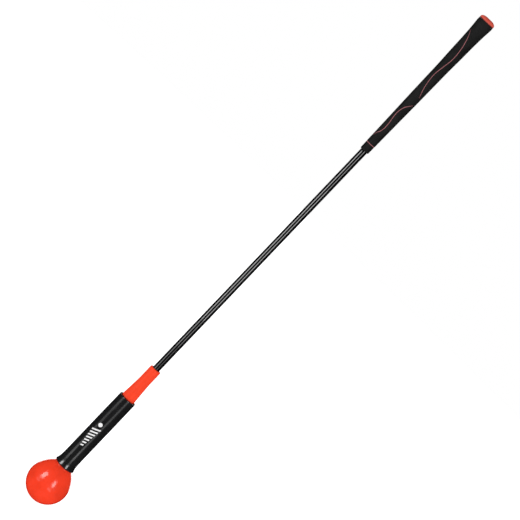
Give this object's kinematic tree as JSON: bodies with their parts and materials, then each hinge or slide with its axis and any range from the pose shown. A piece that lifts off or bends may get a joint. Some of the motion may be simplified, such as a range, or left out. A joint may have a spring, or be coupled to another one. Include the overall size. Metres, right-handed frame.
{
  "type": "swing trainer stick",
  "caption": "Weighted ball and black sleeve on a whippy fibreglass rod with a tapered rubber golf grip; the rod bends to both sides and to front and back.",
  "frame": {"origin": "lowest point of the ball, on the stick's axis, with the stick upright and the ball down", "axes": "+Z along the stick from the ball to the butt cap; -Y faces the viewer, on the side with the sleeve's print and the grip's two curved lines; +X to the viewer's right"},
  "size_m": [0.0696, 0.0696, 1.016],
  "materials": {
    "ball": "gloss",
    "ferrule": "gloss",
    "sleeve": "gloss",
    "rod": "gloss",
    "grip": "matte",
    "grip_line": "matte",
    "cap": "satin",
    "print": "matte",
    "steel": "satin",
    "nylon": "matte",
    "damper": "matte",
    "core": "matte",
    "tape": "matte"
  },
  "bodies": {
    "handle": {"grip": "grip", "butt_cap": "cap", "grip_tape": "tape", "counterweight": "steel", "rod_butt": "rod"},
    "link_01": {"rod_link_01": "rod"},
    "link_02": {"rod_link_02": "rod"},
    "link_03": {"rod_link_03": "rod"},
    "link_04": {"rod_link_04": "rod"},
    "link_05": {"rod_link_05": "rod"},
    "link_06": {"rod_link_06": "rod"},
    "link_07": {"rod_link_07": "rod"},
    "head": {"rod_tip": "rod", "ferrule": "ferrule", "weight_sleeve": "sleeve", "steel_weight": "steel", "weight_pin": "steel", "upper_bush": "nylon", "upper_damper": "damper", "lower_damper": "damper", "lower_bush": "nylon", "ball_skin": "ball", "ball_core": "core", "rod_socket": "steel"}
  },
  "joints": [
    {"name": "bend_side_1", "type": "hinge", "parent": "handle", "child": "link_01", "pos_m": [0, 0, 0.71523], "axis": [-0.5, 0.866, 0], "range_deg": [-8, 8], "stiffness_Nm_per_rad": 350},
    {"name": "bend_front_1", "type": "hinge", "parent": "link_01", "child": "link_02", "pos_m": [0, 0, 0.65729], "axis": [0.866, 0.5, 0], "range_deg": [-8, 8], "stiffness_Nm_per_rad": 350},
    {"name": "bend_side_2", "type": "hinge", "parent": "link_02", "child": "link_03", "pos_m": [0, 0, 0.59936], "axis": [-0.5, 0.866, 0], "range_deg": [-6.48, 6.48], "stiffness_Nm_per_rad": 350},
    {"name": "bend_front_2", "type": "hinge", "parent": "link_03", "child": "link_04", "pos_m": [0, 0, 0.54142], "axis": [0.866, 0.5, 0], "range_deg": [-6.32, 6.32], "stiffness_Nm_per_rad": 350},
    {"name": "bend_side_3", "type": "hinge", "parent": "link_04", "child": "link_05", "pos_m": [0, 0, 0.48348], "axis": [-0.5, 0.866, 0], "range_deg": [-4.95, 4.95], "stiffness_Nm_per_rad": 350},
    {"name": "bend_front_3", "type": "hinge", "parent": "link_05", "child": "link_06", "pos_m": [0, 0, 0.42554], "axis": [0.866, 0.5, 0], "range_deg": [-4.63, 4.63], "stiffness_Nm_per_rad": 350},
    {"name": "bend_side_4", "type": "hinge", "parent": "link_06", "child": "link_07", "pos_m": [0, 0, 0.36761], "axis": [-0.5, 0.866, 0], "range_deg": [-3.43, 3.43], "stiffness_Nm_per_rad": 350},
    {"name": "bend_front_4", "type": "hinge", "parent": "link_07", "child": "head", "pos_m": [0, 0, 0.30967], "axis": [0.866, 0.5, 0], "range_deg": [-2.95, 2.95], "stiffness_Nm_per_rad": 350}
  ],
  "couplings": [
    {"joint": "bend_side_2", "follows": "bend_side_1", "ratio": 0.8095},
    {"joint": "bend_side_3", "follows": "bend_side_1", "ratio": 0.619},
    {"joint": "bend_side_4", "follows": "bend_side_1", "ratio": 0.4285},
    {"joint": "bend_front_2", "follows": "bend_front_1", "ratio": 0.7894},
    {"joint": "bend_front_3", "follows": "bend_front_1", "ratio": 0.5789},
    {"joint": "bend_front_4", "follows": "bend_front_1", "ratio": 0.3683}
  ]
}
